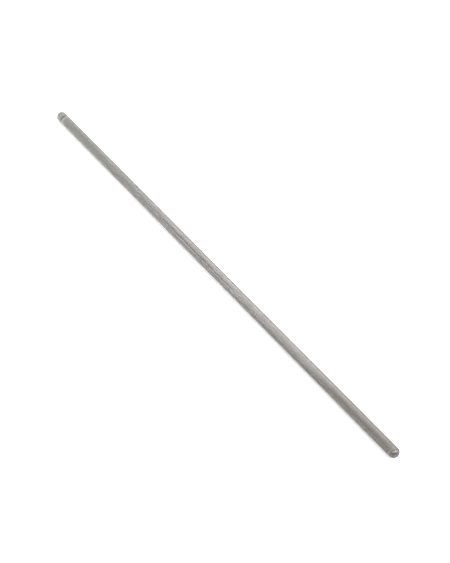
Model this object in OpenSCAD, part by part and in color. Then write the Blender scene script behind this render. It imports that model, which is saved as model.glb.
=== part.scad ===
// Glass stirring rod: one solid length of drawn glass with both ends fire-polished to domes.
// Millimetres. It lies along X, +Z is up, and the origin is on its axis, halfway along it.

/* [Rod] */
// Overall length, from tip to tip
rod_length = 300; // [120:5:500]
// Diameter of the drawn rod
rod_d = 6; // [3:0.5:12]

/* [Fire-polished ends] */
// Radius that the flame rounded the +X end to, half of rod_d for a full dome
plus_end_r = 3; // [0.3:0.1:6]
// Radius that the flame rounded the -X end to, half of rod_d for a full dome
minus_end_r = 3; // [0.3:0.1:6]

/* [Hidden] */
$fn = 96;

rod_r = rod_d / 2;

// An end is rounded as far as its radius asks, or to a full dome where the rod is too thin for that.
plus_round_r = min(plus_end_r, rod_r);
minus_round_r = min(minus_end_r, rod_r);

// The straight wall runs between the two rounded ends.
wall_start = -rod_length / 2 + minus_round_r;
wall_end = rod_length / 2 - plus_round_r;

smoky_glass = [0.64, 0.63, 0.61, 0.6];

// Half section of a rounded end that stands past the wall's end at height 0.
// Where the round is less than the rod's radius, a flat is left in the middle of the tip.
module end_half_section(round_r) {
    flat_r = rod_r - round_r;
    intersection() {
        translate([flat_r, 0]) circle(r = round_r);
        square([rod_r, round_r]);
    }
    if (flat_r > 0)
        square([flat_r, round_r]);
}

// Half section of the whole rod, with its axis on the Y axis.
module rod_half_section() {
    translate([0, wall_start]) square([rod_r, wall_end - wall_start]);
    translate([0, wall_end]) end_half_section(plus_round_r);
    translate([0, wall_start]) mirror([0, 1]) end_half_section(minus_round_r);
}

module glass_rod() {
    color(smoky_glass)
        rotate([0, 90, 0])
            rotate_extrude() rod_half_section();
}

glass_rod();
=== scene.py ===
"""Looks for the glass stirring rod: the drawn glass itself, and a plain pale studio round it."""
import math
from collections import namedtuple

import bpy
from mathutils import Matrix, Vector


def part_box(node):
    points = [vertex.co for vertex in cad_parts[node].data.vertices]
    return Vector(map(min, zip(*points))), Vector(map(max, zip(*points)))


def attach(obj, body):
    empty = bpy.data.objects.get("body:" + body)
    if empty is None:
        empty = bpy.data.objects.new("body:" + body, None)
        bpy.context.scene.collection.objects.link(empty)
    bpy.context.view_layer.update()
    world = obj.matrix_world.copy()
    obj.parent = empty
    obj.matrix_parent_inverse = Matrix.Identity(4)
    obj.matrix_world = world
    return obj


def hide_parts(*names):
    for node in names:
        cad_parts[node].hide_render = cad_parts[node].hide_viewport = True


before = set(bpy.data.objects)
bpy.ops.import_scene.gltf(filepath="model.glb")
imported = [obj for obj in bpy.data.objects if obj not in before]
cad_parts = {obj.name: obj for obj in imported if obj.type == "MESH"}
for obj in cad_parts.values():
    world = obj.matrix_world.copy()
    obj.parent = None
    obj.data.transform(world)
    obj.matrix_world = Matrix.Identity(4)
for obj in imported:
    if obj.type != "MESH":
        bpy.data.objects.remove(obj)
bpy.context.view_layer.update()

bl_info = {
    "name": "Glass Stirring Rod",
    "version": (1, 0, 0),
    "blender": (4, 5, 0),
    "location": "View3D > Sidebar > Glass Rod",
    "description": "Makes a drawn glass stirring rod with fire-polished ends, and a studio to look at it in",
    "category": "Add Mesh",
}

MM = 0.001
ROD_NODE = "glass_rod"
ROD_BODY = "root"

rod_low, rod_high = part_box(ROD_NODE)
rod_span = rod_high - rod_low
ROUNDING = 0.001 * MM    # taken off the length, so that rounding can't carry a tip out of the CAD box

BOROSILICATE_IOR = 1.473
COLUMN_CROWDING = 0.85    # how closely the wall's columns crowd towards the domes, from 0 (evenly) to 1
WAVE_TURN = 0.6    # radius of the circle that one turn round the rod makes in the waves' noise
CLOSING_DISTANCE = 0.002 * MM    # points as near as this are merged, which closes the seam and the poles
LINE_START = 0.42    # value of the noise at which a drawn line starts to show
LINE_FULL = 0.62    # and from which it shows in full
DIM_FROM = 0.24    # sine of the angle above the horizon at which the sky starts to dim
DIM_TO = 0.60    # and from which it is as dim as overhead

# A mark is a soft-edged patch of other tint in the glass, mostly long and thin along the rod. Its middle lies
# inward from the near tip (end 1, at +X) or the far tip (end -1), and is turned round the rod from the top, +
# towards +Y. Its half length, half width and depth are its reach along, round and into the glass, and it
# fades over the outer part of them that its softness gives. All are in millimetres and degrees, and a tint
# names a colour below. Later marks lie over earlier ones. Most marks are painted light and shade: the painted
# shade on the sides stands for the dark edges that a clear rod has in a room, which this pale studio gives
# too little of; the painted dark and light lines and rings stand for things round about that the rod and its
# domes refract; and painted shade darkens the ends, the near tip and the near end's lower side, over the
# slight olive and brownish casts that the glass has there.
ALL_ROUND = 90.0    # a half width and depth that take in the whole section
ALL_ALONG = 1500.0    # a half length that takes in the whole rod
Mark = namedtuple("Mark", "name end inward turn half_length half_width depth softness tint")
MARKS = (
    # painted shade: the far end darker, for light that falls off along the rod, over a slight olive cast of
    # the glass
    Mark("far end", -1, 0, 0, 120, ALL_ROUND, ALL_ROUND, 0.8, "smoky_glass"),
    # a brownish cast at the near end, darkened with painted shade for light that falls off along the rod
    Mark("browned and shaded near end", 1, 0, 0, 68, ALL_ROUND, ALL_ROUND, 0.4, "browned_glass_and_shade"),
    # painted shade along both sides, for the dark edges that a clear rod shows in a room
    Mark("painted shade on the +Y side", 1, 150, 50, ALL_ALONG, 2.17, 3.0, 1.0, "painted_deep_shade"),
    Mark("painted shade on the -Y side", 1, 150, -108, ALL_ALONG, 5.0, 3.0, 0.9, "painted_deep_shade"),
    # painted shade under the near end, darkening its lower rim and the light it lets through to the card
    Mark("painted shade under the near end", 1, 0, -120, 240, 5.5, 3.0, 0.8, "painted_deep_shade"),
    # mostly painted shade on the near end's lower side, with a brownish cast
    Mark("stain", 1, 25, -50, 50, 3.0, 3.0, 1.0, "stain_and_shade"),
    # painted light: the top of the rod lighter, as where light falls on it
    Mark("painted light on the top side", 1, 120, 3, 150, 2.1, 3.0, 1.0, "painted_light"),
    # painted reflections: two dark lines with a light line between them, for dark things round about that the
    # rod refracts
    Mark("first painted dark line", 1, 165, -29, 60, 0.6, 3.0, 1.0, "painted_shade"),
    Mark("second painted dark line", 1, 140, -69, 80, 0.8, 3.0, 1.0, "painted_shade"),
    Mark("painted light line between the dark lines", 1, 135, -44, 90, 0.65, 3.0, 1.0, "painted_light"),
    # painted shade: the near dome darker all round
    Mark("near tip", 1, 0, 0, 3.1, ALL_ROUND, ALL_ROUND, 0.35, "painted_shade"),
    # painted light: a thin ring of the plainer, lighter glass tint behind the near dome, for light that the
    # dome gathers
    Mark("painted light ring behind the near dome", 1, 3.7, -50, 0.6, 4.0, 4.0, 1.0, "glass"),
    # painted shade: a dark spot in the near dome, where it shows its own shade on the card
    Mark("painted shade spot in the near tip", 1, 1.6, -47, 0.8, 0.9, 1.5, 1.0, "painted_deep_shade"),
    # painted shade and painted light: a dark band and a light ring behind the far dome, for light that the
    # dome focuses
    Mark("painted dark ring behind the far dome", -1, 6.1, -26, 0.9, 5.0, 5.0, 1.0, "painted_shade"),
    Mark("painted light ring behind the far dome", -1, 7.8, -26, 0.9, 5.0, 5.0, 0.6, "painted_light"),
)

# A soft light is a pale patch of sky. Its height is its angle above the floor as seen along the rod, from
# the +Y side. Its lean is the share of its direction that runs along the rod, and its spread is how wide
# the patch looks. Height and spread are in degrees.
SoftLight = namedtuple("SoftLight", "name height lean spread strength")
SOFT_LIGHTS = (
    SoftLight("window", 40, 0.50, 50, 2.4),
    SoftLight("rim", 40, -0.50, 50, 0.8),
    SoftLight("fill", 116, 0.30, 40, 2.2),
    SoftLight("glint", 74, 0.53, 30, 3.6),
)


# Colours and nodes

def linear(hex_colour):
    """An sRGB hex colour as linear red, green and blue, with an alpha of 1."""
    parts = [int(hex_colour[i:i + 2], 16) / 255 for i in (1, 3, 5)]
    return [p / 12.92 if p <= 0.04045 else ((p + 0.055) / 1.055) ** 2.4 for p in parts] + [1.0]


def add(tree, kind, settings=None, **inputs):
    """Adds a node with its settings and links.

    An input is a value, an output, or a node, for its first output. It goes by its own name, with _ for each
    space, or by i and its number.
    """
    node = tree.nodes.new(kind)
    for name, value in (settings or {}).items():
        setattr(node, name, value)
    for name, value in inputs.items():
        key = int(name[1:]) if name[0] == "i" and name[1:].isdigit() else name.replace("_", " ")
        if isinstance(value, bpy.types.Node):
            value = value.outputs[0]
        if isinstance(value, bpy.types.NodeSocket):
            tree.links.new(value, node.inputs[key])
        else:
            node.inputs[key].default_value = value
    return node


# Sizes and colours that a user would change

def colour_property(name, description, hex_colour):
    return bpy.props.FloatVectorProperty(
        name=name, description=description, default=linear(hex_colour), size=4, min=0.0, max=1.0,
        subtype="COLOR")


def length_property(name, description, metres, smallest=0.0):
    return bpy.props.FloatProperty(
        name=name, description=description, default=metres, min=smallest, unit="LENGTH", subtype="DISTANCE")


class GlassRodSizes(bpy.types.PropertyGroup):
    length: length_property("Length", "Overall length of the rod, from tip to tip",
                            rod_span.x - ROUNDING, 50 * MM)
    radius: length_property("Radius", "Radius of the drawn rod, and of the domes at its ends",
                            min(rod_span.y, rod_span.z) / 2, 1 * MM)
    draw_wave: length_property("Draw wave", "The most that the drawn wall dips in from its radius", 0.01 * MM)
    wave_spacing: length_property("Wave spacing", "Rough distance along the rod from one dip to the next",
                                  60 * MM, 1 * MM)
    near_ring: length_property("Near ring", "From the near tip to where its softened glass ends", 3.3 * MM)
    far_ring: length_property("Far ring", "From the far tip to where its softened glass ends", 7.4 * MM)
    ring_depth: length_property("Ring depth", "How far the wall is drawn in at these rings", 0.02 * MM)
    ring_width: length_property("Ring width", "Half the width of each ring", 0.7 * MM, 0.1 * MM)


class GlassRodLook(bpy.types.PropertyGroup):
    glass: colour_property("Glass", "What is left of white light that has passed through the rod", "#b4b2af")
    drawn_line: colour_property("Drawn line", "The same, along the fine lines left by drawing", "#acaaa7")
    # painted shade towards the far end, over a slight olive cast of the glass
    smoky_glass: colour_property("Far glass and shade", "The same, towards the far end", "#a6a6a0")
    # brownish cast and painted shade at the near end
    browned_glass_and_shade: colour_property("Browned glass and shade", "The same, where use has browned the near end", "#a09d97")
    # painted shade with a brownish cast, on the near end's lower side
    stain_and_shade: colour_property("Stain and shade", "The same, in a stain near that end", "#8c8880")
    # painted light: the tint of the lighter top, the light line between the dark lines and the light ring
    # behind the far dome
    painted_light: colour_property("Painted light", "The same, where the glass is clearest", "#cdcbc8")
    # painted shade: the tint of the painted dark lines, the near tip and the dark ring behind the far dome
    painted_shade: colour_property("Painted shade", "The same, along the broad dark cords", "#696765")
    # painted shade: the near-black tint of the painted dark sides, the underside of the near end and the spot
    # in its tip
    painted_deep_shade: colour_property("Painted deep shade", "The same, along the dark sides", "#2b2927")
    smoke: colour_property("Smoke", "Colour that light takes on over a long way through the glass", "#c9c8c5")
    smoke_density: bpy.props.FloatProperty(
        name="Smoke density", description="How strongly the glass darkens light, per metre of glass",
        default=8.0, min=0.0)
    roughness: bpy.props.FloatProperty(
        name="Roughness", description="Roughness of the drawn surface", default=0.05, min=0.0, max=1.0)
    line_pitch: length_property("Line pitch", "Distance round the rod between drawn lines", 1.1 * MM)
    line_run: length_property("Line run", "How far a drawn line runs before it fades", 400 * MM)
    line_depth: length_property("Line depth", "Height of the drawn lines on the surface", 0.0015 * MM)


class GlassRodStudio(bpy.types.PropertyGroup):
    card: colour_property("Card", "Colour of the card that the rod lies on", "#f8f8f8")
    card_half: length_property("Card half size", "Half the side of the card", 6.0)
    sky: colour_property("Sky", "Colour of the soft light from all round", "#ffffff")
    low_sky: bpy.props.FloatProperty(
        name="Low sky", description="Brightness of the sky near the horizon", default=1.05, min=0.0)
    high_sky: bpy.props.FloatProperty(
        name="High sky", description="Brightness of the sky overhead", default=0.4, min=0.0)
    azimuth: bpy.props.FloatProperty(
        name="Azimuth", description="Camera's turn round the rod, from the -Y side towards +X",
        default=math.radians(52.36), unit="ROTATION", subtype="ANGLE")
    elevation: bpy.props.FloatProperty(
        name="Elevation", description="Camera's angle above the card",
        default=math.radians(51.22), unit="ROTATION", subtype="ANGLE")
    distance: length_property("Distance", "From the camera to the point that it looks at", 0.658)
    aim: length_property("Aim", "How far along the rod from its middle the camera looks", 13.7 * MM)
    focal_length: bpy.props.FloatProperty(
        name="Focal length", description="Focal length of the camera's lens in millimetres", default=78.42)


# The rod

def drawn_rod_tree(rings_dome=32, rings_wall=240, sides=160):
    """Geometry Nodes that roll a grid into the rod: its columns run along the rod, its rows round it."""
    tree = bpy.data.node_groups.new("drawn_rod", "GeometryNodeTree")
    face = tree.interface
    for name in ("Length", "Radius", "Draw Wave", "Wave Spacing", "Near Ring", "Far Ring", "Ring Depth",
                 "Ring Width"):
        face.new_socket(name, in_out="INPUT", socket_type="NodeSocketFloat")
    face.new_socket("Glass", in_out="INPUT", socket_type="NodeSocketMaterial")
    face.new_socket("Rod", in_out="OUTPUT", socket_type="NodeSocketGeometry")
    given = add(tree, "NodeGroupInput").outputs
    plus, minus, times, over, sine, cosine, power = (
        ("ShaderNodeMath", {"operation": name}) for name in (
            "ADD", "SUBTRACT", "MULTIPLY", "DIVIDE", "SINE", "COSINE", "EXPONENT"))

    columns = 2 * rings_dome + rings_wall
    grid = add(tree, "GeometryNodeMeshGrid", Size_X=float(columns), Size_Y=math.tau,
               Vertices_X=columns + 1, Vertices_Y=sides + 1)
    place = add(tree, "ShaderNodeSeparateXYZ", Vector=add(tree, "GeometryNodeInputPosition"))
    turn = place.outputs["Y"]

    # how far each column is through the far dome, the wall and the near dome
    parts = []
    start = -columns / 2
    for count, top in ((rings_dome, math.pi / 2), (rings_wall, 1.0), (rings_dome, math.pi / 2)):
        parts.append(add(tree, "ShaderNodeMapRange", i0=place.outputs["X"], i1=start, i2=start + count,
                         i3=0.0, i4=top))
        start += count
    far_dome, wall, near_dome = parts

    # the wall's columns crowd together towards the domes, where the rings are
    swing = add(tree, *sine, i0=add(tree, *times, i0=wall, i1=math.tau))
    wall = add(tree, *minus, i0=wall, i1=add(tree, *times, i0=swing, i1=COLUMN_CROWDING / math.tau))

    radius = given["Radius"]
    half = add(tree, *times, i0=given["Length"], i1=0.5)
    wall_length = add(tree, *times, i0=add(tree, *minus, i0=half, i1=radius), i1=2.0)
    domed = add(tree, *minus, i0=add(tree, *sine, i0=near_dome), i1=add(tree, *cosine, i0=far_dome))
    x = add(tree, *times, i0=add(tree, *plus, i0=domed, i1=1.0), i1=radius)
    x = add(tree, *plus, i0=x, i1=add(tree, *times, i0=wall, i1=wall_length))
    x = add(tree, *minus, i0=x, i1=half)
    out = add(tree, *plus, i0=add(tree, *sine, i0=far_dome), i1=add(tree, *cosine, i0=near_dome))
    out = add(tree, *minus, i0=out, i1=1.0)

    # the wall's slow waves, then the shallow ring behind each dome
    y_share = add(tree, *sine, i0=turn)
    z_share = add(tree, *cosine, i0=turn)
    around = add(tree, "ShaderNodeCombineXYZ", X=add(tree, *over, i0=x, i1=given["Wave Spacing"]),
                 Y=add(tree, *times, i0=y_share, i1=WAVE_TURN), Z=add(tree, *times, i0=z_share, i1=WAVE_TURN))
    wave = add(tree, "ShaderNodeTexNoise", Vector=around, Scale=1.0, Detail=1.0)
    dip = add(tree, *times, i0=wave, i1=given["Draw Wave"])
    for name, side in (("Near Ring", 1.0), ("Far Ring", -1.0)):
        to_tip = add(tree, *minus, i0=half, i1=add(tree, *times, i0=x, i1=side))
        steps = add(tree, *over, i0=add(tree, *minus, i0=to_tip, i1=given[name]), i1=given["Ring Width"])
        bell = add(tree, *power, i0=add(tree, *times, i0=add(tree, *times, i0=steps, i1=steps), i1=-1.0))
        dip = add(tree, *plus, i0=dip, i1=add(tree, *times, i0=bell, i1=given["Ring Depth"]))

    reach = add(tree, *times, i0=out, i1=add(tree, *minus, i0=radius, i1=dip))
    rolled = add(tree, "ShaderNodeCombineXYZ", X=x, Y=add(tree, *times, i0=y_share, i1=reach),
                 Z=add(tree, *times, i0=z_share, i1=reach))
    placed = add(tree, "GeometryNodeSetPosition", Geometry=grid, Position=rolled)
    closed = add(tree, "GeometryNodeMergeByDistance", Geometry=placed, Distance=CLOSING_DISTANCE)
    smooth = add(tree, "GeometryNodeSetShadeSmooth", Geometry=closed, Shade_Smooth=True)
    real = add(tree, "GeometryNodeRealizeInstances", Geometry=smooth)
    glazed = add(tree, "GeometryNodeSetMaterial", Geometry=real, Material=given["Glass"])
    add(tree, "NodeGroupOutput", Rod=glazed)
    return tree


def drawn_glass(sizes, look):
    """Borosilicate glass, drawn from the melt as a rod, cut, and rounded at the ends in a flame.

    The eye gets a smooth, wet shine, a grey like thin smoke, fine lines along the rod from the drawing, and
    painted light and shade: a few painted dark and light lines, painted shade on the sides and ends, and a
    painted light and dark ring behind each rounded end.
    """
    mat = bpy.data.materials.new("drawn_borosilicate_glass")
    mat.use_nodes = True
    tree = mat.node_tree
    tree.nodes.clear()
    place = add(tree, "ShaderNodeTexCoord").outputs["Object"]

    # real drawn lines are much finer: these are as coarse as it takes to show
    stretch = (1 / look.line_run, 1 / look.line_pitch, 1 / look.line_pitch)
    stretched = add(tree, "ShaderNodeMapping", Vector=place, Scale=stretch)
    lines = add(tree, "ShaderNodeTexNoise", Vector=stretched, Scale=1.0, Detail=1.0)
    line = add(tree, "ShaderNodeMapRange", {"interpolation_type": "SMOOTHSTEP"}, Value=lines,
               From_Min=LINE_START, From_Max=LINE_FULL)
    # a Mix node's colours are its inputs 6 and 7 and its output 2
    tint = add(tree, "ShaderNodeMix", {"data_type": "RGBA"}, i0=line, i6=look.glass, i7=look.drawn_line)

    # most marks paint light and shade into the glass's colour
    for mark in MARKS:
        turn = math.radians(mark.turn)
        middle = (mark.end * (sizes.length / 2 - mark.inward * MM), sizes.radius * math.sin(turn),
                  sizes.radius * math.cos(turn))
        reach = (mark.half_length * MM, mark.half_width * MM, mark.depth * MM)
        local = add(tree, "ShaderNodeMapping", {"vector_type": "TEXTURE", "label": mark.name}, Vector=place,
                    Location=middle, Rotation=(-turn, 0.0, 0.0), Scale=reach)
        near = add(tree, "ShaderNodeTexGradient", {"gradient_type": "SPHERICAL"}, Vector=local)
        fade = add(tree, "ShaderNodeMapRange", {"interpolation_type": "SMOOTHSTEP"},
                   Value=near.outputs["Fac"], From_Max=mark.softness)
        tint = add(tree, "ShaderNodeMix", {"data_type": "RGBA"}, i0=fade, i6=tint.outputs[2],
                   i7=getattr(look, mark.tint))

    bump = add(tree, "ShaderNodeBump", Height=lines, Strength=1.0, Distance=look.line_depth)
    shader = add(tree, "ShaderNodeBsdfPrincipled", Base_Color=tint.outputs[2], IOR=BOROSILICATE_IOR,
                 Roughness=look.roughness, Transmission_Weight=1.0, Normal=bump)
    smoke = add(tree, "ShaderNodeVolumeAbsorption", Color=look.smoke, Density=look.smoke_density)
    add(tree, "ShaderNodeOutputMaterial", Surface=shader, Volume=smoke)
    return mat


def made_by(tree, name, values):
    """The plain mesh that a Geometry Nodes tree makes, as an object at the origin."""
    start = bpy.data.objects.new(name + "_nodes", bpy.data.meshes.new(name + "_nodes"))
    bpy.context.scene.collection.objects.link(start)
    modifier = start.modifiers.new("nodes", "NODES")
    modifier.node_group = tree
    for item in tree.interface.items_tree:
        if item.in_out == "INPUT":
            modifier[item.identifier] = values[item.name]
    evaluated = start.evaluated_get(bpy.context.evaluated_depsgraph_get())
    mesh = bpy.data.meshes.new_from_object(evaluated)
    mesh.name = name
    bpy.data.objects.remove(start)
    piece = bpy.data.objects.new(name, mesh)
    bpy.context.scene.collection.objects.link(piece)
    return piece


class GLASSROD_OT_rod(bpy.types.Operator):
    """Make the drawn glass rod"""
    bl_idname = "glassrod.rod"
    bl_label = "Drawn glass rod"

    def execute(self, context):
        sizes = context.scene.glass_rod_sizes
        rod = made_by(drawn_rod_tree(), "drawn_rod", {
            "Length": sizes.length, "Radius": sizes.radius,
            "Draw Wave": sizes.draw_wave, "Wave Spacing": sizes.wave_spacing,
            "Near Ring": sizes.near_ring, "Far Ring": sizes.far_ring,
            "Ring Depth": sizes.ring_depth, "Ring Width": sizes.ring_width,
            "Glass": drawn_glass(sizes, context.scene.glass_rod_look)})
        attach(rod, ROD_BODY)
        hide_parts(ROD_NODE)
        return {"FINISHED"}


# The studio

def white_card(studio):
    """Matt coated card: the eye gets a plain pale ground with no shine."""
    mat = bpy.data.materials.new("matt_white_card")
    mat.use_nodes = True
    mat.node_tree.nodes.clear()
    shader = add(mat.node_tree, "ShaderNodeBsdfPrincipled", Base_Color=studio.card, Roughness=0.9,
                 Specular_IOR_Level=0.0)
    add(mat.node_tree, "ShaderNodeOutputMaterial", Surface=shader)
    return mat


def soft_sky(studio):
    """A plain white surround, bright near the horizon and dimmer overhead, as inside a low white tent."""
    world = bpy.data.worlds.new("soft_sky")
    world.use_nodes = True
    tree = world.node_tree
    tree.nodes.clear()
    height = add(tree, "ShaderNodeSeparateXYZ", Vector=add(tree, "ShaderNodeTexCoord").outputs["Generated"])
    strength = add(tree, "ShaderNodeMapRange", {"interpolation_type": "SMOOTHSTEP"},
                   Value=height.outputs["Z"], From_Min=DIM_FROM, From_Max=DIM_TO,
                   To_Min=studio.low_sky, To_Max=studio.high_sky)
    sky = add(tree, "ShaderNodeBackground", Color=studio.sky, Strength=strength)
    add(tree, "ShaderNodeOutputWorld", Surface=sky)
    return world


def hang(light):
    """Hangs one soft light in the sky."""
    data = bpy.data.lights.new(light.name, "SUN")
    data.angle = math.radians(light.spread)
    data.energy = light.strength
    lamp = bpy.data.objects.new(light.name, data)
    bpy.context.scene.collection.objects.link(lamp)
    height = math.radians(light.height)
    across = math.sqrt(1 - light.lean ** 2)
    way = Vector((light.lean, across * math.cos(height), across * math.sin(height)))
    lamp.rotation_mode = "QUATERNION"
    lamp.rotation_quaternion = way.to_track_quat("Z", "Y")


class GLASSROD_OT_studio(bpy.types.Operator):
    """Make the pale card, the soft lights and the camera"""
    bl_idname = "glassrod.studio"
    bl_label = "Studio"

    def execute(self, context):
        scene = context.scene
        studio = scene.glass_rod_studio
        scene.view_settings.view_transform = "Standard"

        mesh = bpy.data.meshes.new("card")
        half = studio.card_half
        corners = [(x * half, y * half, rod_low.z) for x, y in ((-1, -1), (1, -1), (1, 1), (-1, 1))]
        mesh.from_pydata(corners, [], [(0, 1, 2, 3)])
        mesh.materials.append(white_card(studio))
        card = bpy.data.objects.new("card", mesh)
        scene.collection.objects.link(card)

        scene.world = soft_sky(studio)
        for light in SOFT_LIGHTS:
            hang(light)

        lens = bpy.data.cameras.new("camera")
        lens.lens = studio.focal_length
        lens.clip_start = 10 * MM    # so that a camera close to a tip still shows it
        camera = bpy.data.objects.new("camera", lens)
        scene.collection.objects.link(camera)
        level = math.cos(studio.elevation)
        way = Vector((math.sin(studio.azimuth) * level, -math.cos(studio.azimuth) * level,
                      math.sin(studio.elevation)))
        camera.location = Vector((studio.aim, 0.0, 0.0)) + way * studio.distance
        camera.rotation_mode = "QUATERNION"
        camera.rotation_quaternion = way.to_track_quat("Z", "Y")
        scene.camera = camera
        return {"FINISHED"}


class GLASSROD_PT_panel(bpy.types.Panel):
    bl_idname = "GLASSROD_PT_panel"
    bl_label = "Glass Stirring Rod"
    bl_space_type = "VIEW_3D"
    bl_region_type = "UI"
    bl_category = "Glass Rod"

    def draw(self, context):
        for operator in OPERATORS:
            self.layout.operator(operator.bl_idname)


OPERATORS = (GLASSROD_OT_rod, GLASSROD_OT_studio)
CLASSES = (GlassRodSizes, GlassRodLook, GlassRodStudio, *OPERATORS, GLASSROD_PT_panel)


def register():
    for cls in CLASSES:
        bpy.utils.register_class(cls)
    bpy.types.Scene.glass_rod_sizes = bpy.props.PointerProperty(type=GlassRodSizes)
    bpy.types.Scene.glass_rod_look = bpy.props.PointerProperty(type=GlassRodLook)
    bpy.types.Scene.glass_rod_studio = bpy.props.PointerProperty(type=GlassRodStudio)


def unregister():
    del bpy.types.Scene.glass_rod_studio
    del bpy.types.Scene.glass_rod_look
    del bpy.types.Scene.glass_rod_sizes
    for cls in reversed(CLASSES):
        bpy.utils.unregister_class(cls)


def main():
    register()
    bpy.ops.glassrod.rod()
    bpy.ops.glassrod.studio()


if __name__ == "__main__":
    main()
